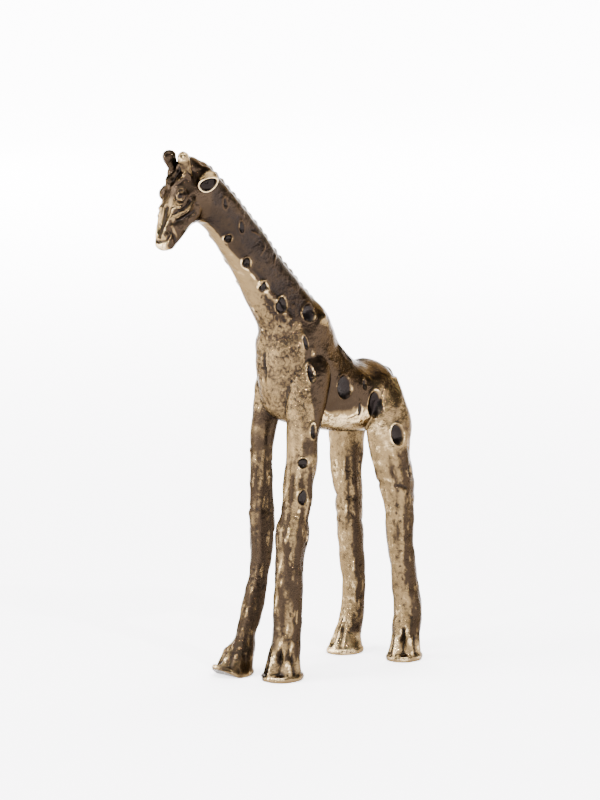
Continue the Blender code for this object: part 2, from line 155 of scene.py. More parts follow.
# Legs: centre (x, y, z), half depth, half width
legLines = {
    "front_left_leg": [
        (2.2, 1.8, 37.6, 1.4, 0.9),
        (2.6, 1.2, 34.2, 2.7, 1.6),
        (2.95, 0.3, 30.5, 2.5, 1.75),
        (3.15, -0.4, 27.5, 1.9, 1.62),
        (3.15, -0.5, 25, 1.76, 1.66),
        (2.95, -0.9, 21.4, 1.7, 1.63),
        (2.8, -1.3, 18.7, 1.67, 1.59),
        (2.7, -1.55, 16.4, 1.89, 1.67),
        (2.6, -1.7, 14.2, 1.58, 1.53),
        (2.5, -1.9, 10.6, 1.6, 1.56),
        (2.4, -1.95, 7.5, 1.6, 1.53),
        (2.3, -2.1, 4.8, 1.58, 1.5),
        (2.2, -2.3, 2.6, 1.88, 1.73),
        (2.15, -2.45, 0.9, 2.2, 2),
        (2.1, -2.5, 0, 2.35, 2.12),
    ],
    "front_right_leg": [
        (-2.2, 1.8, 37.6, 1.4, 0.9),
        (-2.6, 1.2, 34.2, 2.5, 1.6),
        (-2.9, 0.3, 30.5, 2, 1.5),
        (-3.1, -0.4, 27.5, 1.45, 1.32),
        (-3.2, -0.6, 24.5, 1.28, 1.22),
        (-3.2, -0.6, 20.6, 1.3, 1.22),
        (-3.2, -0.55, 17.8, 1.45, 1.34),
        (-3.2, -0.6, 15.1, 1.35, 1.28),
        (-3.2, -0.75, 12.9, 1.27, 1.21),
        (-3.2, -1.2, 10.6, 1.23, 1.18),
        (-3.2, -1.8, 8.4, 1.23, 1.18),
        (-3.15, -2.6, 6, 1.25, 1.21),
        (-3.1, -3.4, 4, 1.25, 1.15),
        (-3.3, -4.2, 2.2, 1.85, 1.6),
        (-3.4, -4.75, 0.8, 2.2, 1.95),
        (-3.4, -5, 0, 2.35, 2.05),
    ],
    "hind_left_leg": [
        (2, 13.8, 32.5, 1.5, 1.1),
        (2.7, 13.2, 30.5, 2.3, 1.65),
        (3.1, 13.2, 27.5, 2.95, 2),
        (3.35, 13.1, 25, 2.75, 1.87),
        (3.5, 13.4, 22.8, 2.5, 1.7),
        (3.6, 14.1, 20, 2.25, 1.65),
        (3.65, 14.45, 17.6, 1.9, 1.6),
        (3.75, 14.5, 15.4, 1.65, 1.5),
        (3.9, 14.55, 12.3, 1.5, 1.4),
        (4.1, 15.05, 8.3, 1.55, 1.43),
        (4.25, 15.2, 5.5, 1.6, 1.48),
        (4.3, 15.05, 3.8, 1.65, 1.53),
        (4.3, 14.8, 2, 1.75, 1.6),
        (4.3, 14.7, 0.8, 2, 1.8),
        (4.3, 14.65, 0, 2.1, 1.85),
    ],
    "hind_right_leg": [
        (-2, 13.8, 32.5, 1.5, 1.1),
        (-2.7, 13.2, 30.5, 2.3, 1.65),
        (-3.1, 13, 27.5, 2.8, 1.95),
        (-3.35, 12.9, 25, 2.21, 1.76),
        (-3.45, 13, 22.7, 1.96, 1.66),
        (-3.45, 13.2, 20, 1.71, 1.54),
        (-3.4, 13.5, 16.5, 1.58, 1.46),
        (-3.4, 13.7, 12.5, 1.48, 1.4),
        (-3.4, 13.95, 8.5, 1.4, 1.32),
        (-3.4, 14, 5.6, 1.34, 1.28),
        (-3.3, 13.6, 3.7, 1.41, 1.34),
        (-3.2, 13, 2, 1.6, 1.45),
        (-3.2, 12.6, 0.8, 2.05, 1.85),
        (-3.2, 12.5, 0, 2.15, 1.95),
    ],
}
# Points round a section and its squareness, where 2 makes an ellipse
sections = {"body": (72, 2.3), "leg": (56, 2.15)}
# The head's lumps: centre, radii, pitch. The pairs lie on both sides.
headLumps = {
    "pairs": [
        ((1.28, -16.5, 55.25), (0.66, 0.82, 0.95), 12),  # eye socket
        ((1.25, -15.2, 53.6), (0.8, 1.6, 1.35), 30),  # cheek
        ((1.05, -15.6, 57.2), (0.62, 0.6, 0.9), 20),  # horn root
    ],
    "middle": [
        ((0, -14.15, 57.7), (1.5, 1.95, 1.5), -25),  # poll
        ((0, -18.0, 50.1), (1.15, 0.9, 0.8), 15),  # lips
    ],
}
# Voxel size, steps of relaxing, and steps of averaging for the near and the wide relief
build = {"voxel": 0.108, "relax": 10, "near": 9, "wide": 42}


def bodyShell():
    rows = spline(bodyLine, 10)
    middle = np.zeros(len(rows))
    back = np.stack([middle, rows[:, 0], rows[:, 1]], 1)
    belly = np.stack([middle, rows[:, 2], rows[:, 3]], 1)
    return skin((back + belly) / 2, (back - belly) / 2, rows[:, 4], *sections["body"])


def legShell(name):
    rows = spline(legLines[name], 10)
    rows = rows[rows[:, 2] > 0.0]
    foot = np.array(legLines[name][-1], float)[None]
    rows = np.vstack([rows, foot])
    spines = np.zeros((len(rows), 3))
    spines[:, 1] = -rows[:, 3]
    return skin(rows[:, :3], spines, rows[:, 4], *sections["leg"])


def layUp():
    shells = [bodyShell()] + [legShell(name) for name in legLines]
    for side in (-1, 1):
        for (x, y, z), radii, pitch in headLumps["pairs"]:
            shells.append(lump((x * side, y, z), radii, pitch))
    shells += [lump(*row) for row in headLumps["middle"]]
    return fuse(shells)


def castForm():
    # The laid up shells as one skin of quads, with its edges.
    points, faces = layUp()
    mesh = plainMesh("layUp", points, faces)
    obj = bpy.data.objects.new("layUp", mesh)
    bpy.context.scene.collection.objects.link(obj)
    remesh = obj.modifiers.new("fuse", "REMESH")
    remesh.mode = "VOXEL"
    remesh.voxel_size = build["voxel"]
    bpy.context.view_layer.update()
    fused = obj.evaluated_get(bpy.context.evaluated_depsgraph_get()).to_mesh()
    count = len(fused.vertices)
    vertices = np.empty(count * 3, np.float32)
    fused.vertices.foreach_get("co", vertices)
    loops = np.empty(len(fused.loops), np.int32)
    fused.loops.foreach_get("vertex_index", loops)
    edges = np.empty(len(fused.edges) * 2, np.int32)
    fused.edges.foreach_get("vertices", edges)
    bpy.data.objects.remove(obj)
    bpy.data.meshes.remove(mesh)
    return vertices.reshape(-1, 3).astype(float), loops.reshape(-1, 4), edges.reshape(-1, 2)


class Casting:
    # The worked surface: points, quads and edges, with the tools that change it.
    def __init__(self):
        self.points, self.quads, self.edges = castForm()
        self.ends = np.concatenate([self.edges[:, 0], self.edges[:, 1]])
        self.other = np.concatenate([self.edges[:, 1], self.edges[:, 0]])
        self.degree = np.bincount(self.ends, minlength=len(self.points)).astype(float)
        self.findNormals()

    def mean(self, values):
        # Average of the neighbours' values at each point.
        values = values.reshape(len(self.points), -1)
        columns = values[self.other].T
        sums = [np.bincount(self.ends, column, len(self.points)) for column in columns]
        out = np.stack(sums, 1) / self.degree[:, None]
        return out if out.shape[1] > 1 else out[:, 0]

    def relax(self, weight, times):
        # Smooths without shrinking: a step towards the neighbours, then a slightly longer one back.
        for _ in range(times):
            for step in (0.55, -0.57):
                self.points += (self.mean(self.points) - self.points) * weight[:, None] * step
        self.findNormals()

    def findNormals(self):
        # Each point's normal is the sum of its quads' ones, by their area.
        a, b, c, d = (self.points[self.quads[:, k]] for k in range(4))
        face = np.cross(c - a, d - b)
        total = np.zeros_like(self.points)
        for k in range(4):
            for axis in range(3):
                total[:, axis] += np.bincount(self.quads[:, k], face[:, axis], len(self.points))
        self.normals = total / np.linalg.norm(total, axis=1)[:, None]

    def soft(self, values, times):
        # The values averaged over and over with their neighbours.
        for _ in range(times):
            values = self.mean(values)
        return values

    def push(self, height):
        self.points += self.normals * height[:, None]
        self.findNormals()

    def patch(self, centre, aim, size, tilt):
        # Flat coordinates on the surface nearest to a place: u across, v along, each over its half size.
        # Among near points, one that faces the aim counts as nearer. The normal is the mean over a small
        # disc. lean and disc are squared distances, and the patch reaches deep mm to either side.
        lean, disc, deep = 0.35, 0.35, 1.3
        centre, aim = np.asarray(centre, float), np.asarray(aim, float)
        near = np.argmin(((self.points - centre) ** 2).sum(1) - lean * (self.normals @ aim))
        origin = self.points[near]
        close = ((self.points - origin) ** 2).sum(1) < disc
        normal = self.normals[close].mean(0)
        normal /= np.linalg.norm(normal)
        down = np.array([0.0, math.sin(math.radians(tilt)), -math.cos(math.radians(tilt))])
        v = down - normal * (down @ normal)
        v /= np.linalg.norm(v)
        u = np.cross(normal, v)
        offset = self.points - origin
        inside = (np.abs(offset @ normal) < deep) & (self.normals @ normal > 0.05)
        return offset @ u / size[0], offset @ v / size[1], inside


def headShare(points):
    # 0 on the neck and below, 1 on the head.
    return smoothstep(-12.5, -14.0, points[:, 1]) * smoothstep(47, 48.5, points[:, 2])


casting = Casting()
print("form fused:", len(casting.points), "points")
casting.relax(1 - headShare(casting.points) * 0.85, build["relax"])
print("form relaxed")


# Working the surface


lipWidth = 0.11  # mm


def dimple(centre, size, tilt, depth, rim):
    # A sunk oval with a raised lip. r is the distance from its middle as a share of its half size:
    # inside it sinks as a power of one minus r squared, and the lip, highest in front and above, is a
    # bell just outside it.
    aim = (math.copysign(1.0, centre[0]), 0, 0)
    u, v, inside = casting.patch(centre, aim, size, tilt)
    r = np.hypot(u, v)
    lip = lipWidth / min(size)
    ahead = np.clip(-(0.55 * u * aim[0] + 0.8 * v) / np.maximum(r, 0.1), 0, 1)
    height = -depth * np.clip(1 - r**2, 0, 1) ** 0.6
    height += rim * (0.25 + 0.95 * ahead) * bell(r - 1.0 - lip * 0.8, lip)
    return np.where(inside, height, 0), np.where(inside, smoothstep(1.05, 0.8, r), 0)


def nearness(line, steps=5):
    # Distance of every point to a smooth line through places in space, worked out within reach of it.
    reach, beyond = 1.2, 9.0
    line = spline(line, steps)
    best = np.full(len(casting.points), beyond)
    low, high = line.min(0) - reach, line.max(0) + reach
    near = np.where(((casting.points > low) & (casting.points < high)).all(1))[0]
    here, found = casting.points[near], best[near]
    for a, b in zip(line, line[1:]):
        step = b - a
        t = np.clip((here - a) @ step / max(step @ step, 1e-9), 0, 1)
        found = np.minimum(found, np.linalg.norm(here - a - t[:, None] * step, axis=1))
    best[near] = found
    return best


def carve(lines):
    # Raised and sunk lines, each on both sides unless it runs down the middle: a bell of the distance
    # times its height.
    height = np.zeros(len(casting.points))
    for line, width, tall in lines:
        line = np.array(line, float)
        for side in (1, -1) if np.abs(line[:, 0]).max() > 0.15 else (1,):
            height += tall * bell(nearness(line * (side, 1, 1)), width)
    return height


def waves(points, length, seed):
    # A sum of sine waves in random directions, all of about one length: roughly -1 to 1.
    count = 9
    rng = np.random.default_rng(seed)
    total = np.zeros(len(points))
    for _ in range(count):
        aim = rng.normal(size=3)
        aim *= 2 * np.pi / (length * rng.uniform(0.7, 1.4) * np.linalg.norm(aim))
        total += np.sin(points @ aim + rng.uniform(0, 2 * np.pi))
    return total / math.sqrt(count)


# The head's modelled lines: places (x, y, z), width, height
headLines = {
    "nose": ([(1.0, -17.5, 53.7), (0.86, -17.75, 53.1), (0.7, -18.2, 52.1), (0.5, -18.6, 51.0)], 0.2, 0.2),
    "noseGroove": ([(0.0, -17.7, 53.9), (0.0, -18.2, 52.6), (0.0, -18.75, 50.9)], 0.26, -0.26),
    "underEye": ([(0.95, -17.5, 53.8), (1.35, -17.25, 53.95), (1.6, -17.0, 54.0)], 0.22, 0.2),
    "cheek": ([(1.15, -17.6, 52.9), (1.6, -16.95, 53.3), (1.85, -16.1, 53.9), (1.95, -15.5, 54.7)], 0.24, 0.3),
    "cheekGroove": ([(1.5, -17.2, 53.75), (1.8, -16.5, 54.0), (1.9, -15.9, 54.6)], 0.16, -0.2),
    "underCheek": ([(1.45, -17.2, 52.6), (1.75, -16.4, 52.95), (1.9, -15.4, 53.5)], 0.3, -0.32),
    "jaw": ([(1.5, -16.9, 51.6), (1.6, -16.2, 52.0), (1.5, -15.3, 52.6)], 0.3, 0.14),
    "lips": ([(0.0, -18.9, 50.35), (0.55, -18.75, 50.4), (1.0, -18.45, 50.6), (1.15, -18.0, 51.3)], 0.13, -0.2),
    "behindMouth": ([(1.15, -17.9, 51.5), (1.3, -17.6, 50.9), (1.3, -17.3, 50.3)], 0.28, -0.22),
    "crown": ([(0.35, -17.3, 56.2), (0.75, -17.0, 56.6), (1.15, -16.3, 57.2), (1.3, -15.9, 57.9)], 0.2, 0.22),
    "betweenHorns": ([(0.0, -16.9, 56.9), (0.0, -16.3, 57.7), (0.0, -15.6, 58.4)], 0.4, -0.4),
    "brow": ([(0.9, -17.2, 56.1), (1.5, -17.0, 56.3), (2.0, -16.4, 56.1)], 0.2, 0.18),
}
eye = {"place": (1.56, -17.05, 55.25), "aim": (0.66, -0.74, -0.05), "ball": (0.52, 0.6), "farSide": 0.3}


def workHead():
    # The lines, then each eye: a ball as the root of one minus r squared, a groove round it and a lid
    # below. Returns how much of the painted dark reflection on each eye's ball each point holds.
    height = carve(headLines.values())
    eyeReflection = np.zeros(len(height))
    for side in (1, -1):
        place = (eye["place"][0] * side, *eye["place"][1:])
        aim = (eye["aim"][0] * side, *eye["aim"][1:])
        u, v, inside = casting.patch(place, aim, eye["ball"], 0)
        r = np.hypot(u, v)
        below = np.clip((0.5 * u * side + 0.8 * v) / np.maximum(r, 0.2), 0, 1)
        ring = 0.15 * below * bell(r - 1.3, 0.22) - 0.1 * bell(r - 1.06, 0.15)
        ring += 0.3 * np.clip(1 - r**2, 0, 1) ** 0.5
        height += np.where(inside, ring, 0) * (1 if side > 0 else eye["farSide"])
        # Painted reflection: a dark patch on the ball where it mirrors dark surroundings.
        dark = smoothstep(0.5, 0.3, np.hypot(u + 0.15 * side, v + 0.1))
        eyeReflection = np.maximum(eyeReflection, np.where(inside, dark, 0))
    casting.push(height)
    return eyeReflection


# spot starts as the eyes' painted dark reflection; the spots' patina joins it below.
spot = workHead()
print("head worked")

# Spots on both flanks: place (x, y, z), half width, half height, tilt, depth and lip
spots = {
    "neck": [
        ((1.6, -10.9, 54.0), 0.26, 0.55, 10, 0.26, 0.07),
        ((1.9, -8.4, 51.2), 0.30, 0.60, 15, 0.24, 0.09),
        ((1.6, -10.2, 49.8), 0.44, 0.46, 0, 0.34, 0.14),
        ((1.8, -7.5, 47.1), 0.50, 0.62, 20, 0.36, 0.14),
        ((1.9, -5.2, 44.4), 0.50, 0.62, 20, 0.36, 0.14),
        ((2.2, -2.7, 42.2), 0.72, 0.95, 15, 0.38, 0.12),
        ((2.6, 1.0, 41.0), 0.98, 1.00, 15, 0.40, 0.16),
    ],
    "body": [
        ((3.0, 0.0, 37.8), 0.26, 0.75, 12, 0.26, 0.10),
        ((3.8, 0.1, 34.4), 0.46, 0.95, 5, 0.38, 0.14),
        ((2.4, 7.2, 35.7), 0.40, 1.10, 40, 0.32, 0.16),
        ((3.6, 5.7, 32.4), 1.15, 1.40, 25, 0.46, 0.12),
        ((3.4, 9.0, 32.2), 0.32, 0.50, 0, 0.26, 0.10),
        ((3.7, 10.4, 29.9), 0.98, 1.50, -5, 0.30, 0.07),
        ((3.5, 8.3, 29.4), 0.30, 0.80, 8, 0.28, 0.10),
        ((4.9, 12.7, 26.3), 0.92, 1.25, 20, 0.46, 0.12),
        ((4.9, 14.3, 22.0), 0.30, 0.80, 10, 0.22, 0.09),
    ],
    "leg": [
        ((4.7, -0.3, 28.1), 0.42, 0.80, 5, 0.38, 0.12),
        ((4.4, -1.6, 24.7), 0.58, 0.55, 0, 0.34, 0.12),
        ((4.2, -1.5, 20.8), 0.62, 0.85, 0, 0.30, 0.09),
    ],
}
farShift = 0.25  # the right side's spots lie this much further back
lift = np.zeros(len(casting.points))
lipped = np.zeros(len(casting.points))
for group in spots.values():
    for place, wide, tall, tilt, depth, lip in group:
        for side in (1, -1):
            at = (place[0] * side, place[1] + (farShift if side < 0 else 0), place[2])
            height, mark = dimple(at, (wide, tall), tilt, depth, lip)
            lift += height
            spot = np.maximum(spot, mark)
            lipped = np.maximum(lipped, smoothstep(0.03, lip, height))

# Lines of the neck, shoulder and flanks: places, width, height
bodyLines = [
    ([(1.1, -13.0, 51.8), (1.55, -9.4, 48.7), (1.8, -6.2, 45.4), (2.0, -3.6, 43.0),
      (2.4, -1.6, 40.6)], 0.3, 0.22),
    ([(2.55, 3.3, 40.4), (2.75, 1.9, 39.4), (2.95, 1.0, 38.2), (3.3, 0.9, 36.6)], 0.38, 0.22),
    ([(0.0, -3.45, 39.3), (-0.3, -3.3, 36.0), (-0.4, -2.6, 32.6), (-0.5, -0.9, 29.4)], 0.16, 0.14),
    ([(0.3, -3.45, 39.0), (0.15, -3.3, 36.0), (0.0, -2.6, 32.6)], 0.18, -0.16),
    ([(0.1, -12.4, 51.4), (0.0, -9.9, 48.2), (0.0, -7.0, 44.4), (0.0, -4.0, 40.6)], 0.14, 0.1),
    ([(3.2, 2.6, 30.2), (3.3, 4.6, 28.9), (3.3, 6.6, 28.7), (3.3, 8.6, 29.4)], 0.2, 0.15),
    ([(2.8, 3.6, 28.2), (3.0, 5.8, 27.7), (3.0, 8.6, 28.1)], 0.22, 0.16),
    ([(2.3, -0.9, 46.0), (1.95, -2.2, 47.6), (1.85, -3.3, 47.6), (1.9, -3.8, 46.2),
      (2.0, -3.2, 45.0)], 0.15, 0.12),
    ([(1.9, -6.8, 50.6), (1.95, -5.6, 50.1), (1.95, -5.0, 48.9), (1.95, -5.6, 48.0)], 0.13, 0.09),
    ([(2.0, -10.6, 54.9), (2.0, -9.6, 54.6), (2.0, -9.2, 53.6)], 0.12, 0.07),
    ([(3.4, 3.4, 35.6), (3.5, 4.4, 35.2), (3.5, 5.4, 35.6), (3.3, 6.2, 36.6)], 0.15, 0.09),
    ([(4.3, -2.0, 30.0), (4.6, -1.8, 26.0), (4.3, -2.3, 21.5), (4.1, -2.7, 18.5)], 0.35, 0.16),
    ([(4.9, 12.0, 24.8), (4.9, 13.2, 21.0), (4.9, 14.2, 17.5)], 0.4, 0.2),
]
lift += carve(bodyLines)
# Where handling has polished the metal bright: places, width, strength
polishLines = [
    ([(2.6, 2.6, 40.2), (2.8, 1.5, 39.2), (2.95, 0.8, 38.2), (3.3, 0.8, 36.4)], 0.32, 1.0),
    ([(2.7, 2.6, 39.9), (2.6, 3.6, 39.6)], 0.6, 0.9),
    ([(1.7, -11.6, 51.4), (1.75, -9.2, 48.6), (1.9, -6.2, 45.4), (2.1, -3.6, 43.0)], 0.3, 0.15),
    ([(0.86, -17.75, 53.1), (0.7, -18.2, 52.1), (0.5, -18.6, 51.0)], 0.2, 0.7),
    ([(1.0, -17.5, 53.8), (1.35, -17.25, 53.95), (1.6, -17.0, 54.0)], 0.2, 0.9),
    ([(1.15, -17.6, 52.9), (1.6, -16.95, 53.3), (1.85, -16.1, 53.9), (1.95, -15.5, 54.7)], 0.2, 0.7),
    ([(1.9, -15.9, 52.4), (1.5, -16.6, 51.6)], 0.3, 0.5),
    ([(3.2, 2.6, 30.2), (3.3, 4.6, 28.9), (3.3, 6.6, 28.7), (3.3, 8.6, 29.4)], 0.2, 0.7),
    ([(3.0, 2.8, 28.9), (3.1, 5.8, 28.2), (3.1, 8.8, 28.7)], 1.0, 1.1),
    ([(3.9, 12.0, 31.2), (4.1, 12.2, 29.4)], 0.6, 0.4),
    ([(4.2, 10.6, 27.6), (4.5, 11.2, 25.4), (4.5, 12.0, 22.0)], 0.8, 0.35),
    ([(4.3, -2.2, 23.4), (4.2, -1.6, 23.0)], 0.5, 0.7),
    ([(3.6, 7.3, 31.0), (3.6, 7.4, 29.6)], 0.4, 0.7),
    ([(4.2, 11.6, 28.6), (4.6, 12.0, 27.6)], 0.5, 0.6),
]
x, y, z = casting.points.T
# The mane: a crest along the back of the neck, where each scallop is half a wave, and a hollow beside it
maneLine = [(0, -12.6, 58.9), (0, -10.5, 57.0), (0, -8.8, 55.1)]
maneLine += [(0, -3.3, 49.3), (0, 2.4, 43.6), (0, 5.0, 41.0)]
maneScallop = 1.15  # mm
crest = nearness(maneLine, 8)
along = (y - z) * 0.7071  # down the neck, at 45 degrees
scallop = np.abs(np.sin(along * np.pi / maneScallop))
lift += bell(crest, 0.5) * (0.3 + 0.26 * scallop) * smoothstep(6, 3, y) * smoothstep(-12.8, -11.2, y)
lift -= bell(crest - 1.4, 0.6) * 0.14 * smoothstep(3, 0, y)
polished = np.zeros(len(casting.points))
for line, width, shine in polishLines:
    line = np.array(line, float)
    for side in (1, -1):
        polished = np.maximum(polished, shine * bell(nearness(line * (side, 1, 1)), width))
casting.push(lift)
print("spots, lines and mane worked")

# Hooves: middle (x, y), the way the cleft faces (degrees towards the animal's left), flare
hooves = [(2.1, -2.4, 34, 1.0), (-3.2, -4.4, -28, 0.9), (4.3, 14.7, 40, 0.9), (-3.1, 12.7, -30, 0.85)]
# A hoof's folds: degrees from the cleft, height, width in degrees
hoofFolds = [(52, -0.2, 11), (-58, -0.24, 13), (29, 0.16, 10), (-31, 0.2, 12)]
hoofFolds += [(105, -0.14, 16), (-115, -0.14, 16)]
# Knees and hocks: place (x, y, z), size
joints = [(2.7, -1.5, 17.2, 1), (-3.2, -0.6, 17.0, 0.8), (3.7, 14.4, 18.6, 1), (-3.4, 13.4, 16.6, 0.8)]
hoofReach, hoofTop, cleftDepth, jointReach = 3.6, 6, 0.62, 3.2
lift = np.zeros(len(casting.points))
for hoofX, hoofY, cleft, flare in hooves:
    mine = (np.hypot(x - hoofX, y - hoofY) < hoofReach) & (z < hoofTop)
    turn = np.degrees(np.arctan2(x - hoofX, hoofY - y)) - cleft
    turn = (turn + 180) % 360 - 180
    deep = smoothstep(0.55, 1.0, z) * smoothstep(4.6, 2.6, z)
    width = 9 + 15 * smoothstep(3.8, 0.9, z)
    cut = -cleftDepth * bell(turn, width) * deep
    for offset, size, wide in hoofFolds:
        cut += size * bell(turn - offset, wide) * deep * smoothstep(3.8, 2.4, z)
    cut += 0.1 * smoothstep(0.75, 0.45, z) + 0.06 * np.sin(np.radians(turn) * 7) * smoothstep(1.0, 0.3, z)
    lift += np.where(mine, cut * flare, 0)
# Two soft folds across each joint, and a swelling at it
for jointX, jointY, jointZ, size in joints:
    mine = np.hypot(x - jointX, y - jointY) < jointReach
    slope = z - jointZ + 0.35 * (y - jointY) - 0.25 * np.abs(x - jointX)
    fold = bell(slope - 1.0, 0.3) * -0.12 + bell(slope + 1.2, 0.35) * -0.1 + bell(z - jointZ, 1.1) * 0.1
    lift += np.where(mine, fold * size * (0.6 + 0.5 * waves(casting.points, 2.0, 5)), 0)
# Shares of the leg, the chest and the head in each point. Pits and hammer marks are coarsest on the legs
# and chest; streaks run down the legs and veins over the chest.
lower = smoothstep(28, 22, z)
legs = lower * smoothstep(1.2, 3.0, z)
chest = smoothstep(0.5, -1.5, y) * smoothstep(27, 31, z) * smoothstep(46, 40, z)
headness = headShare(casting.points)
upper = 1 - lower
coarse = np.clip(legs * 0.65 + chest * 0.7 + 0.15 - headness, 0, 1) * (1 - spot)
swells = waves(casting.points, 4.5, 11) * 0.06 * (1 - headness)
dents = waves(casting.points, 2.2, 12) * 0.03 * (0.3 + coarse) * (1 - headness)
lift += swells + dents
pits = waves(casting.points, 0.75, 13) * 0.5 + waves(casting.points, 0.5, 14) * 0.5
lift -= smoothstep(0.35, 1.1, pits) * 0.075 * coarse
streakReliefAndSheen = waves(casting.points * (1, 1, 0.12), 1.2, 31) * legs
veins = bell(waves(casting.points, 1.0, 15), 0.2) * chest
lift += 0.06 * streakReliefAndSheen - 0.04 * veins
casting.push(lift * smoothstep(0.0, 0.25, z))
# The far front hoof tips up: it rises with the distance that a point lies ahead of the toe line.
midX, midY = -0.6, 6  # what parts the left legs from the right ones, and the front ones from the hind ones
toe = {"line": -5.7, "length": 1.6, "rise": 0.6}
x, y, z = casting.points.T
ahead = np.where(x < midX, np.clip(toe["line"] - y, 0, toe["length"]), 0)
z += toe["rise"] * ahead * smoothstep(3.0, 0.8, z)
np.maximum(z, 0.0, out=z)
casting.findNormals()
print("hooves, joints and pits worked")

# Parting the casting where its pieces meet

parts = ["torso", "neck", "head"]
parts += ["front_left_leg", "front_right_leg", "hind_left_leg", "hind_right_leg"]
neckFoot = 37  # nothing lower belongs to the neck
cuts = {  # a point on the cut and the way out of it
    "neck": ((0, -0.35, 41.05), (0, -0.62, 0.785)),
    "head": ((0, -10.55, 53.1), (0, -0.717, 0.697)),
    "front_left_leg": ((3, 0, 26.15), (0, 0, -1)),
    "front_right_leg": ((-3, 0, 26.15), (0, 0, -1)),
    "hind_left_leg": ((3, 13, 22.65), (0, 0, -1)),
    "hind_right_leg": ((-3, 13, 22.65), (0, 0, -1)),
}


def partition(points):
    # Which part each point belongs to, as its place in the list of parts.
    kind = np.zeros(len(points), int)
    for index, name in enumerate(parts[1:], 1):
        place, out = (np.array(value, float) for value in cuts[name])
        beyond = (points - place) @ out > 0
        if name == "neck":
            beyond &= points[:, 2] > neckFoot
        elif name == "head":
            beyond &= kind == 1
        else:
            beyond &= (points[:, 0] > midX) == (place[0] > midX)
            beyond &= (points[:, 1] > midY) == (place[1] > midY)
        kind[beyond] = index
    return kind


def partOff(casting, extras):
    # The quads are shared out by their middles. The points between two parts move onto the flat cut, and
    # each part gets a lid on the rim: a fan from the rim's middle.
    points, quads = casting.points, casting.quads
    kind = partition(points[quads].mean(1))
    least, most = np.full(len(points), 99), np.zeros(len(points), int)
    for k in range(4):
        np.minimum.at(least, quads[:, k], kind)
        np.maximum.at(most, quads[:, k], kind)
    for index, name in enumerate(parts[1:], 1):
        place, out = (np.array(value, float) for value in cuts[name])
        out /= np.linalg.norm(out)
        edge = (least != most) & (most == index)
        points[edge] -= ((points[edge] - place) @ out)[:, None] * out
    size = len(points)
    # Each side of a quad as one number, start times size plus end, to look up the quad across it
    ahead = np.concatenate([quads[:, k].astype(np.int64) * size + quads[:, (k + 1) % 4] for k in range(4)])
    owner = np.tile(kind, 4)
    order = np.argsort(ahead)
    meshes = {}
    extras = dict(extras, **dict(zip(("normalX", "normalY", "normalZ"), casting.normals.T)))
    for index, name in enumerate(parts):
        mine = ahead[owner == index]
        start, end = mine // size, mine % size
        twin = end * size + start
        found = order[np.clip(np.searchsorted(ahead, twin, sorter=order), 0, len(ahead) - 1)]
        beyond = np.where(ahead[found] == twin, owner[found], index)
        rimmed = beyond != index
        own = quads[kind == index]
        used = np.unique(own)
        slot = np.full(size, -1)
        slot[used] = np.arange(len(used))
        faces, extraPoints = slot[own].tolist(), []
        for other in np.unique(beyond[rimmed]):
            chosen = rimmed & (beyond == other)
            a, b = slot[start[chosen]], slot[end[chosen]]
            middle = len(used) + len(extraPoints)
            extraPoints.append(points[used[a]].mean(0))
            faces += np.stack([b, a, np.full(len(a), middle)], 1).tolist()
        allPoints = np.vstack([points[used], *extraPoints])
        blank = np.zeros(len(extraPoints))
        values = {key: np.concatenate([data[used], blank]) for key, data in extras.items()}
        meshes[name] = (allPoints, faces, values)
    return meshes


# The small castings: ears, horns (ossicones) and tail, each a grid of rings closed at its two ends


def ringShell(rings):
    # The points, walls and caps of a tube over the rings.
    count, sides = rings.shape[:2]
    shape = skin(np.zeros((count, 3)), np.zeros((count, 3)), np.zeros(count), sides)
    return np.vstack([rings.reshape(-1, 3), rings[:1].mean(1), rings[-1:].mean(1)]), shape[1], shape[2]


# The ear: its middle, the way its tip and its dish point, its half sizes, the way its back swells, and its
# profile as rows of reach and height
ear = {
    "middle": (2.68, -14.12, 56.35),
    "out": (0.75, 0.54, 0.58),
    "face": (0.53, -0.63, -0.6),
    "size": (1.14, 0.86),
    "hump": (0.0, -0.1, 0.75),
    "sides": 72,
    "profile": [(0.02, -0.34), (0.35, -0.32), (0.62, -0.22), (0.8, -0.02), (0.9, 0.1), (1.0, 0.1), (1.06, 0.0),
                (1.04, -0.2), (0.95, -0.45), (0.75, -0.72), (0.4, -0.92), (0.02, -0.98)],
}


def earPiece(side):
    # A bowl: the distance from its middle and the height follow a profile, and the outline is an
    # ellipse drawn out to a blunt point at the tip.
    mirror = np.array([side, 1, 1])
    out = np.array(ear["out"]) * mirror
    out /= np.linalg.norm(out)
    face = np.array(ear["face"]) * mirror
    face -= out * (face @ out)
    face /= np.linalg.norm(face)
    tall = np.cross(face, out) * side
    profile = spline(ear["profile"], 6)
    angle = np.arange(ear["sides"]) * 2 * np.pi / ear["sides"] * side
    long = ear["size"][0] * (1 + 0.1 * np.cos(angle) ** 3)
    reach, lift = profile[:, 0][:, None], profile[:, 1][:, None]
    uneven = 1 + 0.03 * np.sin(3 * angle + side)
    rings = np.array(ear["middle"]) * mirror + (reach * long * np.cos(angle) * uneven)[..., None] * out
    rings = rings + (reach * ear["size"][1] * np.sin(angle) * uneven)[..., None] * tall
    rings = rings + (lift * (0.75 + 0.25 * np.cos(angle) ** 2))[..., None] * face
    front = np.arange(len(profile)) / len(profile)
    behind = (smoothstep(0.5, 0.75, front) * np.clip(-profile[:, 1], 0, 1))[:, None, None]
    rings = rings + behind * np.array(ear["hump"]) * mirror
    inDish = np.repeat(smoothstep(0.36, 0.24, front), ear["sides"])
    onRim = np.repeat(bell(front - 0.42, 0.1), ear["sides"])
    return ringShell(rings), inDish, onRim


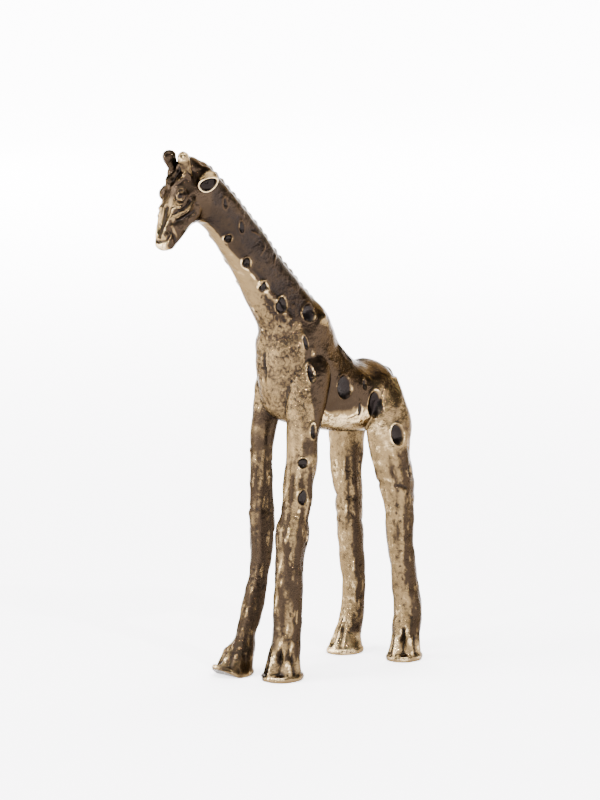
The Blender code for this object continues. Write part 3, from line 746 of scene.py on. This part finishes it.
# The horn: rows of the share of its length and the radius, where the knob's rows are shares of the knob
horn = {
    "base": (0.98, -15.4, 57.2),
    "tip": (1.2, -16.35, 59.55),
    "stem": [(-0.55, 0.5), (-0.2, 0.52), (0.1, 0.54), (0.35, 0.56)],
    "knob": [(0.62, 0.84), (0.85, 1.0), (1.02, 0.86), (1.13, 0.5)],
    "end": (1.17, 0.03),
    "radius": {1: 0.66, -1: 0.76},
    # The left knob gets a painted highlight, and the right one little.
    "wornAndHighlight": {1: 1.1, -1: 0.3},
    "sides": 48,
}


def hornPiece(side):
    # A tube from the brow to a rounded knob.
    base = np.array(horn["base"]) * (side, 1, 1)
    tip = np.array(horn["tip"]) * (side, 1, 1)
    knob = [(share, horn["radius"][side] * size) for share, size in horn["knob"]]
    rows = spline(horn["stem"] + knob + [horn["end"]], 8)
    along = (tip - base) / np.linalg.norm(tip - base)
    across = np.array([1.0, 0, 0]) - along * along[0]
    across /= np.linalg.norm(across)
    third = np.cross(along, across)
    angle = np.arange(horn["sides"]) * 2 * np.pi / horn["sides"]
    centres = base + (tip - base) * rows[:, :1]
    swell = rows[:, 1:] * (1 + 0.06 * np.sin(3 * angle + side) + 0.04 * np.sin(5 * angle + 9 * rows[:, :1]))
    turn = np.cos(angle)[:, None] * across + np.sin(angle)[:, None] * third
    rings = centres[:, None] + swell[..., None] * turn
    wornAndHighlight = np.repeat(horn["wornAndHighlight"][side] * smoothstep(0.68, 0.95, rows[:, 0]), horn["sides"])
    return ringShell(rings), np.zeros(rings.size // 3), wornAndHighlight


# Tail: centre (x, y, z), half depth, half width, from the rump down to the tuft
tail = {
    "rows": [
        (0, 14.9, 33.5, 0.3, 0.5),
        (0, 15.9, 32.9, 0.5, 0.55),
        (0.05, 16.75, 31.2, 0.48, 0.5),
        (0.05, 17.0, 29.0, 0.42, 0.45),
        (0, 17.0, 27.0, 0.44, 0.45),
        (-0.05, 17.05, 25.4, 0.62, 0.6),
        (-0.1, 17.1, 24.0, 0.72, 0.68),
        (-0.15, 17.0, 22.9, 0.45, 0.4),
        (-0.15, 16.95, 22.4, 0.04, 0.04),
    ],
    "sides": 96,
}


def tailPiece():
    # A tube with the strands of the tuft as waves round it, twisting as they go down.
    rows = spline(tail["rows"], 16)
    angle = np.arange(tail["sides"]) * 2 * np.pi / tail["sides"]
    down = np.arange(len(rows)) / len(rows)
    strand = smoothstep(0.45, 0.7, down)[:, None] * 0.12 * np.sin(7 * angle + 5 * down[:, None])
    strand = strand + 0.03 * np.sin(3 * angle + 30 * down[:, None])
    rings = np.zeros((len(rows), tail["sides"], 3)) + rows[:, None, :3]
    rings[..., 1] += rows[:, 3:4] * np.cos(angle) * (1 + strand)
    rings[..., 0] += rows[:, 4:5] * np.sin(-angle) * (1 + strand)
    return ringShell(rings), np.zeros(rings.size // 3), smoothstep(0.0, 0.12, strand.ravel())


class Socket:
    # A shader value: the ordinary operators build the Math node that they need.
    def __init__(self, tree, link):
        self.tree, self.link = tree, link

    def math(self, operation, *values, clamp=False):
        node = self.tree.nodes.new("ShaderNodeMath")
        node.operation, node.use_clamp = operation, clamp
        for socket, value in zip(node.inputs, values):
            plug(self.tree, socket, value)
        return Socket(self.tree, node.outputs[0])

    def __add__(self, other):
        return self.math("ADD", self, other)

    def __sub__(self, other):
        return self.math("SUBTRACT", self, other)

    def __mul__(self, other):
        return self.math("MULTIPLY", self, other)

    def __truediv__(self, other):
        return self.math("DIVIDE", self, other)

    def __radd__(self, other):
        return self.math("ADD", other, self)

    def __rsub__(self, other):
        return self.math("SUBTRACT", other, self)

    def __rmul__(self, other):
        return self.math("MULTIPLY", other, self)

    def clip(self):
        return self.math("ADD", self, 0.0, clamp=True)

    def step(self, low, high):
        # Smooth step from 0 at low to 1 at high.
        t = ((self - low) / (high - low)).clip()
        return t * t * (3.0 - 2.0 * t)


def plug(tree, socket, value):
    # Links a shader value to a socket, or sets a plain one.
    if isinstance(value, Socket):
        tree.links.new(value.link, socket)
    else:
        socket.default_value = value


class Shader:
    # A node material and the few nodes that it is built from.
    def __init__(self, name):
        self.material = bpy.data.materials.new(name)
        self.material.use_nodes = True
        self.tree = self.material.node_tree
        self.surface = self.tree.nodes["Principled BSDF"]

    def node(self, kind, settings, output, **values):
        # Any node: its settings first, then the values or links of its sockets.
        node = self.tree.nodes.new(kind)
        for key, value in settings.items():
            setattr(node, key, value)
        for key, value in values.items():
            plug(self.tree, node.inputs[key], value)
        return Socket(self.tree, node.outputs[output])

    def value(self, name):
        return self.node("ShaderNodeAttribute", {"attribute_name": name}, "Fac")

    def mix(self, factor, first, second):
        node = self.tree.nodes.new("ShaderNodeMix")
        node.data_type = "RGBA"
        plug(self.tree, node.inputs[0], factor)
        for socket, colour in ((node.inputs[6], first), (node.inputs[7], second)):
            plug(self.tree, socket, colour if isinstance(colour, Socket) else (*colour, 1.0))
        return Socket(self.tree, node.outputs[2])

    def noise(self, where, scale, detail, rough):
        values = {"Vector": where, "Scale": scale, "Detail": detail, "Roughness": rough}
        return self.node("ShaderNodeTexNoise", {}, "Fac", **values)

    def scaled(self, vector, amount):
        node = self.tree.nodes.new("ShaderNodeVectorMath")
        node.operation = "SCALE"
        plug(self.tree, node.inputs[0], vector)
        node.inputs["Scale"].default_value = amount
        return Socket(self.tree, node.outputs[0])


# The metal's colours from rubbed to darkest, and its roughness from smooth to pitted
patina = {
    "bright": (0.43, 0.318, 0.17),
    "tan": (0.112, 0.075, 0.035),
    "brown": (0.0185, 0.0125, 0.0080),
    "black": (0.005, 0.0035, 0.003),
    "roughness": (0.06, 0.25),
}
# The metal's noises, from patches to grain: scale per mm, detail, roughness
noises = {"broad": (0.45, 2.0, 0.55), "fine": (2.6, 4.0, 0.55), "grain": (6.5, 4.0, 0.65)}
# What each point carries for the metal
traits = ("dark", "spot", "hollowAndShade", "wornAndHighlight", "coarse")


def agedBrass(name):
    # The tone is the piece's darkness, partly patina and partly painted shade, with noise, less the rubbing and
    # the painted highlights, and picks bright, tan or brown. Hollows with their patina, spots, the painted
    # shade on the neck's sides, the painted contact shadow and the eyes' painted reflection turn black on top
    # of it.
    s = Shader(name)
    where = s.scaled(s.node("ShaderNodeTexCoord", {}, "Object"), 1000.0)  # millimetres
    dark, mark, hollowAndShade, wornAndHighlight, coarse = (s.value(key) for key in traits)
    broad, fine, grain = (s.noise(where, *row) for row in noises.values())
    rubbed = wornAndHighlight * (0.25 + 0.95 * fine.step(0.38, 0.6))
    tone = (dark + (broad - 0.5) * 0.5 + (fine - 0.5) * (0.45 + 0.7 * coarse) - rubbed * 0.5).clip()
    colour = s.mix(tone.step(0.0, 0.28), patina["bright"], patina["tan"])
    colour = s.mix(tone.step(0.3, 0.74), colour, patina["brown"])
    sunkAndShaded = (hollowAndShade + (grain - 0.52) * coarse * 3.0 - rubbed * 0.4).step(0.1, 0.75)
    colour = s.mix(sunkAndShaded * 0.9, colour, patina["black"])
    colour = s.mix(mark, colour, patina["black"])
    plug(s.tree, s.surface.inputs["Base Color"], colour)
    plug(s.tree, s.surface.inputs["Metallic"], 1.0 - sunkAndShaded * 0.1 - mark * 0.12)
    s.surface.inputs["Specular Tint"].default_value = (0.5, 0.48, 0.46, 1)
    low, high = patina["roughness"]
    rough = low + (high - low) * (fine * 0.6 + sunkAndShaded * 0.4) - mark * 0.06
    plug(s.tree, s.surface.inputs["Roughness"], rough.clip())
    height = grain * (0.25 + coarse) + fine * 0.7 + broad * 2.5
    pits = s.node("ShaderNodeBump", {}, "Normal", Strength=0.8, Distance=0.0001, Height=height)
    plug(s.tree, s.surface.inputs["Normal"], pits)
    return s.material


def floorMaterial():
    # White that glows more the further it lies from the middle, so that no edge shows.
    s = Shader("paleFloor")
    s.surface.inputs["Base Color"].default_value = (0.95, 0.93, 0.95, 1)
    s.surface.inputs["Roughness"].default_value = 0.7
    s.surface.inputs["Specular IOR Level"].default_value = 0.2
    place = s.node("ShaderNodeTexCoord", {}, "Object")
    away = s.node("ShaderNodeVectorMath", {"operation": "LENGTH"}, "Value", Vector=place).step(0.05, 0.7)
    plug(s.tree, s.surface.inputs["Emission Color"], s.mix(away, (0.18, 0.176, 0.18), (1.0, 0.98, 1.0)))
    s.surface.inputs["Emission Strength"].default_value = 12.0
    return s.material


metal = agedBrass("agedBrass")


def makePiece(name, points, faces, values, slot):
    mesh = plainMesh(name + "Cast", (points + footing) / 1000, faces)
    for key in traits:
        mesh.attributes.new(key, "FLOAT", "POINT").data.foreach_set("value", values[key].astype(np.float32))
    mesh.shade_smooth()
    if "normalX" in values:  # the shading runs on unbroken from one piece to the next
        normals = np.stack([values["normalX"], values["normalY"], values["normalZ"]], 1)
        mesh.normals_split_custom_set_from_vertices(normals)
    piece = bpy.data.objects.new(name + "Cast", mesh)
    bpy.context.scene.collection.objects.link(piece)
    mesh.materials.append(metal)
    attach(piece, "root")
    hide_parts(name)
    print(piece.name, len(mesh.polygons), "faces")


# What the patina and the painted shade follow. Relief is how far a place stands out of the averaged surface,
# along its normal
# and as a share of a full height in mm: proud is the near one, and wide the wide one.
p, n = casting.points, casting.normals
relief = {"near": 0.05, "wide": 0.14}
proud, wide = (((p - casting.soft(p, build[key])) * n).sum(1) / tall for key, tall in relief.items())
x, y, z = p.T
# The flanks get painted shade where they face sideways, standing in for the dark surroundings that they mirror,
# but less at the belly and on the lower chest.
facing = np.abs(n[:, 0]) + 0.25 * n[:, 1] + 0.1 * n[:, 2]
facing += 0.4 * smoothstep(45, 50, z) * smoothstep(-13.5, -12, y)
flankShade = smoothstep(0.35, 0.8, facing) * upper
flankShade *= 1 - 0.7 * smoothstep(30.4, 29.0, z) * smoothstep(1.5, 3.0, y) * smoothstep(13, 10, y)
flankShade *= 1 - 0.8 * smoothstep(0.3, -0.6, y) * smoothstep(26, 29, z) * smoothstep(41.5, 39.5, z)
# Shares of other places: painted shade on the neck's sides, painted highlight flecks on the legs, the rump and
# painted shade on its dome, painted shade on what faces up, the fore part, painted shade on the haunches' hind
# side, and each front leg, with painted shade on the far one
neckSideShade = flankShade * smoothstep(2.5, -0.5, y) * smoothstep(-13.6, -12.6, y) * smoothstep(39, 42, z)
# Painted highlights: bright flecks down the legs, standing in for glints, that lighten the tone and add to the
# rubbing.
glintFlecks = smoothstep(0.7, 1.4, waves(p * (1, 1, 0.3), 0.6, 41)) * legs
rump = smoothstep(8.5, 11, y) * upper
# Painted shade on the surfaces that face up and back, less on the rump.
upFacingShade = smoothstep(0.0, 0.5, n[:, 2] + 0.5 * n[:, 1]) * upper * (1 - 0.3 * rump)
front = smoothstep(8, 4, y)
uneven = np.clip(0.75 + 0.5 * waves(p, 1.6, 21), 0.1, 1.2)
# Painted shade on the top of the rump.
rumpTopShade = 0.85 * rump * smoothstep(31.5, 33.0, z)
# Painted shade on the haunches where they face backwards.
hindFacingShade = 0.8 * smoothstep(0.25, 0.75, n[:, 1]) * smoothstep(19, 24, z) * smoothstep(9, 12, y)
# Painted shade on the far (right) front leg below the body.
farLegShade = 0.72 * smoothstep(31, 29.3, z) * smoothstep(-0.9, -1.6, x) * front
nearLeg = 0.5 * smoothstep(32, 29, z) * front
headDark = headness * (0.5 + 0.35 * smoothstep(54.0, 55.8, z) - 0.2 * smoothstep(52.2, 50.5, z))
# Painted shade on the legs: darker where they face sideways and back, and the far (right) front leg darker all
# down.
sides = smoothstep(0.35 + 0.25 * front, 0.9, np.abs(n[:, 0]) + 0.4 * n[:, 1])
legDark = 0.42 + 0.3 * front * np.where(x < midX, 1.15, smoothstep(27, 20, z))
legDark += (0.5 - 0.15 * front) * sides
# The streaks darken the legs' colour in bands too: painted reflection streaks.
legDark += (0.2 + 0.14 * front) * streakReliefAndSheen
legDark -= 0.3 * glintFlecks
legDark *= legs
# The darkest of these holds, and no place is lighter than leastDark before the polish.
leastDark = 0.36
shades = [flankShade * (1.08 - 0.5 * rump), upFacingShade * 0.6, rumpTopShade, hindFacingShade, legDark, headDark, farLegShade, nearLeg]
dark = np.maximum(np.maximum.reduce(shades), leastDark) + 0.2 * chest
dark -= 0.6 * polished * smoothstep(35, 37, z) * (1 - headness)
# The hollows' black is patina; the neck's sides add painted shade to it.
hollowAndShade = -proud * 0.6 - wide * 0.35 + 0.3 * veins + 0.62 * neckSideShade + 0.6 * smoothstep(0.4, 0.15, z)
wornAndHighlight = (proud * 0.55 + wide * 0.35 + lipped * 0.2) * uneven + polished + 0.7 * glintFlecks * front
# The hooves' base line is a painted contact shadow: below 0.4 mm it gets more black and less rubbing.
extras = {
    "dark": np.clip(dark, 0, 1.1),
    "spot": spot,
    "hollowAndShade": np.clip(hollowAndShade, 0, 1.2) * (1 - 0.85 * rump),
    "wornAndHighlight": np.clip(wornAndHighlight, 0, 1.4) * (1 - 0.7 * smoothstep(0.5, 0.2, z)) * (1 - 0.3 * headness),
    "coarse": coarse,
}
for name, (points, faces, values) in partOff(casting, extras).items():
    makePiece(name, points, faces, values, "aged_brass")

small = {"left_ear": earPiece(1), "right_ear": earPiece(-1), "left_ossicone": hornPiece(1)}
small.update({"right_ossicone": hornPiece(-1), "tail": tailPiece()})
# The right ossicone is darker than the left as painted shade.
smallDark = {"left_ear": 0.35, "right_ear": 0.35, "left_ossicone": 0.62, "right_ossicone": 1.07, "tail": 0.8}
for name, ((points, walls, caps), *shares) in small.items():
    mark, wornAndHighlight = (np.concatenate([share, share[:1], share[-1:]]) for share in shares)
    flat = np.zeros(len(points))
    tone = flat + smallDark[name]
    values = {"dark": tone, "spot": mark, "hollowAndShade": flat, "wornAndHighlight": wornAndHighlight, "coarse": flat + 0.15}
    faces = walls.tolist() + caps.tolist()
    makePiece(name, points, faces, values, "aged_brass" if name == "tail" else "bright_brass")
print("pieces made")

# Floor, lights and camera
floorMesh = plainMesh("floor", [(-6, -6, 0), (6, -6, 0), (6, 6, 0), (-6, 6, 0)], [(0, 1, 2, 3)])
floor = bpy.data.objects.new("floor", floorMesh)
bpy.context.scene.collection.objects.link(floor)
floorMesh.materials.append(floorMaterial())

world = bpy.data.worlds.new("studio")
bpy.context.scene.world = world
world.use_nodes = True
sky = world.node_tree
direction = Socket(sky, sky.nodes.new("ShaderNodeTexCoord").outputs["Generated"])
split = sky.nodes.new("ShaderNodeSeparateXYZ")
plug(sky, split.inputs[0], direction)
upwards = Socket(sky, split.outputs["Z"])  # the world is bright at the horizon and dim above it
sky.nodes["Background"].inputs["Color"].default_value = (0.98, 0.97, 1.0, 1)
plug(sky, sky.nodes["Background"].inputs["Strength"], 10.0 - 9.5 * upwards.step(0.07, 0.14))

# The camera: degrees, metres and the lens in mm. It looks at the height, moved by side and rise in its view.
view = {
    "azimuth": 46.0,
    "elevation": 9.0,
    "distance": 0.45,
    "height": 0.030,
    "side": 0.00163,
    "rise": 0.00106,
    "lens": 242.5,
}


def around(azimuth, elevation, distance):
    # Degrees round from the front towards its left, degrees up, metres out.
    a, e = math.radians(azimuth), math.radians(elevation)
    return Vector((math.sin(a) * math.cos(e), -math.cos(a) * math.cos(e), math.sin(e))) * distance


def aimAt(obj, target):
    obj.rotation_euler = (Vector(target) - obj.location).to_track_quat("-Z", "Y").to_euler()


lights = [  # azimuth, elevation (degrees), distance, width, height (metres), watts
    (-28, 25, 0.5, 0.22, 0.5, 8.0),
    (200, 35, 0.6, 0.5, 0.4, 8.0),
    (40, 80, 0.6, 0.5, 0.5, 8.0),
    (-110, 15, 0.6, 0.3, 0.5, 5.0),
    (105, 35, 0.7, 0.08, 0.5, 1.0),
    (85, 40, 0.5, 0.012, 0.012, 2.0),
    (5, 30, 0.5, 0.012, 0.012, 1.2),
]
lightTarget = (0, 0, 0.03)
for index, (azimuth, elevation, distance, width, height, watts) in enumerate(lights):
    lamp = bpy.data.lights.new("soft" + str(index), "AREA")
    lamp.shape, lamp.size, lamp.size_y, lamp.energy = "RECTANGLE", width, height, watts
    light = bpy.data.objects.new(lamp.name, lamp)
    bpy.context.scene.collection.objects.link(light)
    light.location = around(azimuth, elevation, distance)
    aimAt(light, lightTarget)

lens = bpy.data.cameras.new("camera")
camera = bpy.data.objects.new("camera", lens)
bpy.context.scene.collection.objects.link(camera)
bpy.context.scene.camera = camera
lens.sensor_fit, lens.sensor_width, lens.lens = "HORIZONTAL", 36, view["lens"]
lens.clip_start = 0.01
a = math.radians(view["azimuth"])
sight = around(view["azimuth"], view["elevation"], 1.0)
right = Vector((math.cos(a), math.sin(a), 0))
centre = Vector((footing[0] / 1000, footing[1] / 1000, view["height"]))
centre += right * view["side"] + sight.cross(right) * view["rise"]
camera.location = centre + sight * view["distance"]
aimAt(camera, centre)
